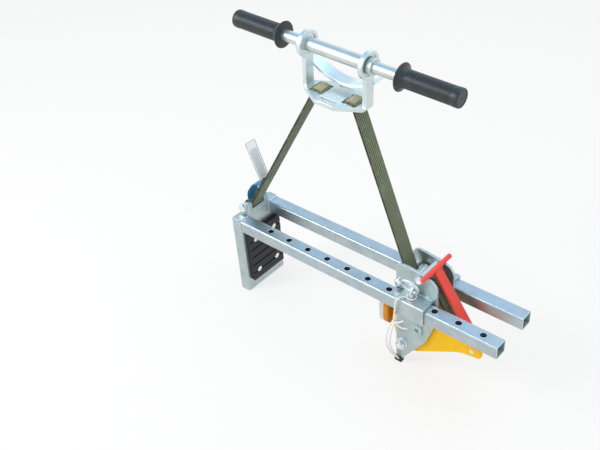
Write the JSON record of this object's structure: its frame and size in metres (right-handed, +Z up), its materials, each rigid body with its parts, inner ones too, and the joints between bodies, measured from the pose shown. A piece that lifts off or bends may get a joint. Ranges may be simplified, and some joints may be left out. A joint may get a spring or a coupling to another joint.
{
  "type": "kerb stone lifting tongs",
  "caption": "Two-rail lifting tongs with a fixed jaw, a sliding carriage with lever clamp and shoe, and a webbing sling that hangs from a yoke with a gripped handlebar.",
  "frame": {"origin": "on the ground under the middle of the part's length and width, at the height of the fixed jaw's lower edge and the carriage's feet", "axes": "+X along the rails from the fixed jaw to their open ends, +Y to the rear, away from the rail with the row of holes, +Z up"},
  "size_m": [0.666, 0.1417, 0.681],
  "materials": {
    "zinc_plated_steel": "bright zinc plating, smooth",
    "fastener_steel": "zinc-plated fasteners, satin",
    "yellow_paint": "powder coat, semi-gloss",
    "orange_paint": "powder coat, semi-gloss",
    "red_paint": "powder coat, semi-gloss",
    "black_rubber": "moulded, matt",
    "grey_rubber": "moulded, matt",
    "olive_webbing": "woven webbing, matt",
    "blue_textile": "woven label, satin",
    "clear_plastic": "clear film sleeve, glossy",
    "white_cord": "braided cord, matt"
  },
  "bodies": {
    "frame": {"front_rail": "zinc_plated_steel", "rear_rail": "zinc_plated_steel", "fixed_jaw": "zinc_plated_steel", "jaw_pad": "black_rubber", "jaw_pad_screws": "fastener_steel", "anchor_bracket": "zinc_plated_steel", "anchor_bolt": "fastener_steel", "anchor_nut": "fastener_steel"},
    "left_leg": {"strap_left_leg": "olive_webbing", "strap_label": "blue_textile", "strap_tag": "clear_plastic"},
    "yoke": {"yoke_frame": "zinc_plated_steel", "bar_bushes": "zinc_plated_steel", "centre_sleeve": "zinc_plated_steel", "hook_saddle": "zinc_plated_steel", "strap_top": "olive_webbing"},
    "handlebar": {"handlebar_tube": "zinc_plated_steel", "bar_collars": "zinc_plated_steel", "left_grip": "black_rubber", "right_grip": "black_rubber"},
    "carriage": {"front_cheek": "zinc_plated_steel", "rear_cheek": "zinc_plated_steel", "front_sleeve": "zinc_plated_steel", "rear_sleeve": "zinc_plated_steel", "cheek_bosses": "zinc_plated_steel", "cheek_feet": "black_rubber", "spacer_tubes": "zinc_plated_steel", "spacer_bolts": "fastener_steel", "spacer_nuts": "fastener_steel", "roller_axles": "fastener_steel", "pivot_bolt": "fastener_steel", "pivot_nut": "fastener_steel", "strap_bend": "olive_webbing", "strap_tail": "olive_webbing", "tether_eye": "white_cord", "tether_drop": "white_cord", "tether_knot": "white_cord", "tether_outer": "white_cord", "tether_inner": "white_cord", "tether_tails": "white_cord"},
    "low_roller": {"low_roller": "zinc_plated_steel"},
    "high_roller": {"high_roller": "black_rubber"},
    "right_leg": {"strap_right_leg": "olive_webbing"},
    "lock_bolt": {"lock_bolt": "fastener_steel"},
    "pull_ring": {"pull_ring": "fastener_steel"},
    "lever": {"front_lever_plate": "yellow_paint", "rear_lever_plate": "yellow_paint", "lever_hub": "yellow_paint", "shoe_pin": "fastener_steel", "strap_pin": "fastener_steel", "handle_pin": "fastener_steel"},
    "shoe": {"clamp_shoe": "orange_paint", "shoe_pad": "grey_rubber"},
    "release_handle": {"release_bar": "red_paint", "release_t_bar": "red_paint"}
  },
  "joints": [
    {"name": "carriage_slide", "type": "slide", "parent": "frame", "child": "carriage", "axis": [1, 0, 0], "range_m": [-0.1575, 0.1575]},
    {"name": "lock_bolt_lift", "type": "slide", "parent": "carriage", "child": "lock_bolt", "axis": [0, 0, 1], "range_m": [-0.007, 0.012]},
    {"name": "pull_ring_flip", "type": "hinge", "parent": "lock_bolt", "child": "pull_ring", "pos_m": [0.1385, -0.0465, 0.2278], "axis": [1, 0, 0], "range_deg": [-28, 60]},
    {"name": "lever_turn", "type": "hinge", "parent": "carriage", "child": "lever", "pos_m": [0.106, 0, 0.056], "axis": [0, -1, 0], "range_deg": [-20, 4], "deforming": ["strap_tail"]},
    {"name": "shoe_swivel", "type": "hinge", "parent": "lever", "child": "shoe", "pos_m": [0.087, 0, 0.108], "axis": [0, -1, 0], "range_deg": [-4.5, 20.5]},
    {"name": "release_handle_swing", "type": "hinge", "parent": "lever", "child": "release_handle", "pos_m": [0.262, 0, 0.121], "axis": [0, 1, 0], "range_deg": [0, 75]},
    {"name": "low_roller_spin", "type": "hinge", "parent": "carriage", "child": "low_roller", "pos_m": [0.1256, 0, 0.228], "axis": [0, 1, 0], "continuous": true},
    {"name": "high_roller_spin", "type": "hinge", "parent": "carriage", "child": "high_roller", "pos_m": [0.164, 0, 0.213], "axis": [0, 1, 0], "continuous": true},
    {"name": "right_leg_swing", "type": "hinge", "parent": "carriage", "child": "right_leg", "pos_m": [0.1256, 0, 0.228], "axis": [0, 1, 0], "range_deg": [-17.5, 17.5]},
    {"name": "left_leg_swing", "type": "hinge", "parent": "frame", "child": "left_leg", "pos_m": [-0.3235, 0, 0.221], "axis": [0, 1, 0], "range_deg": [-10.5, 10.5]},
    {"name": "yoke_level", "type": "hinge", "parent": "left_leg", "child": "yoke", "pos_m": [-0.112, 0, 0.559], "axis": [0, 1, 0], "range_deg": [-10.5, 10.5]},
    {"name": "handlebar_spin", "type": "hinge", "parent": "yoke", "child": "handlebar", "pos_m": [-0.051, 0, 0.64943], "axis": [0.999, 0, -0.0436], "continuous": true}
  ],
  "couplings": [
    {"joint": "left_leg_swing", "follows": "carriage_slide", "rad_per_m": 1.141},
    {"joint": "yoke_level", "follows": "carriage_slide", "rad_per_m": -1.141},
    {"joint": "right_leg_swing", "follows": "carriage_slide", "rad_per_m": -1.9},
    {"joint": "shoe_swivel", "follows": "lever_turn", "ratio": -1}
  ]
}
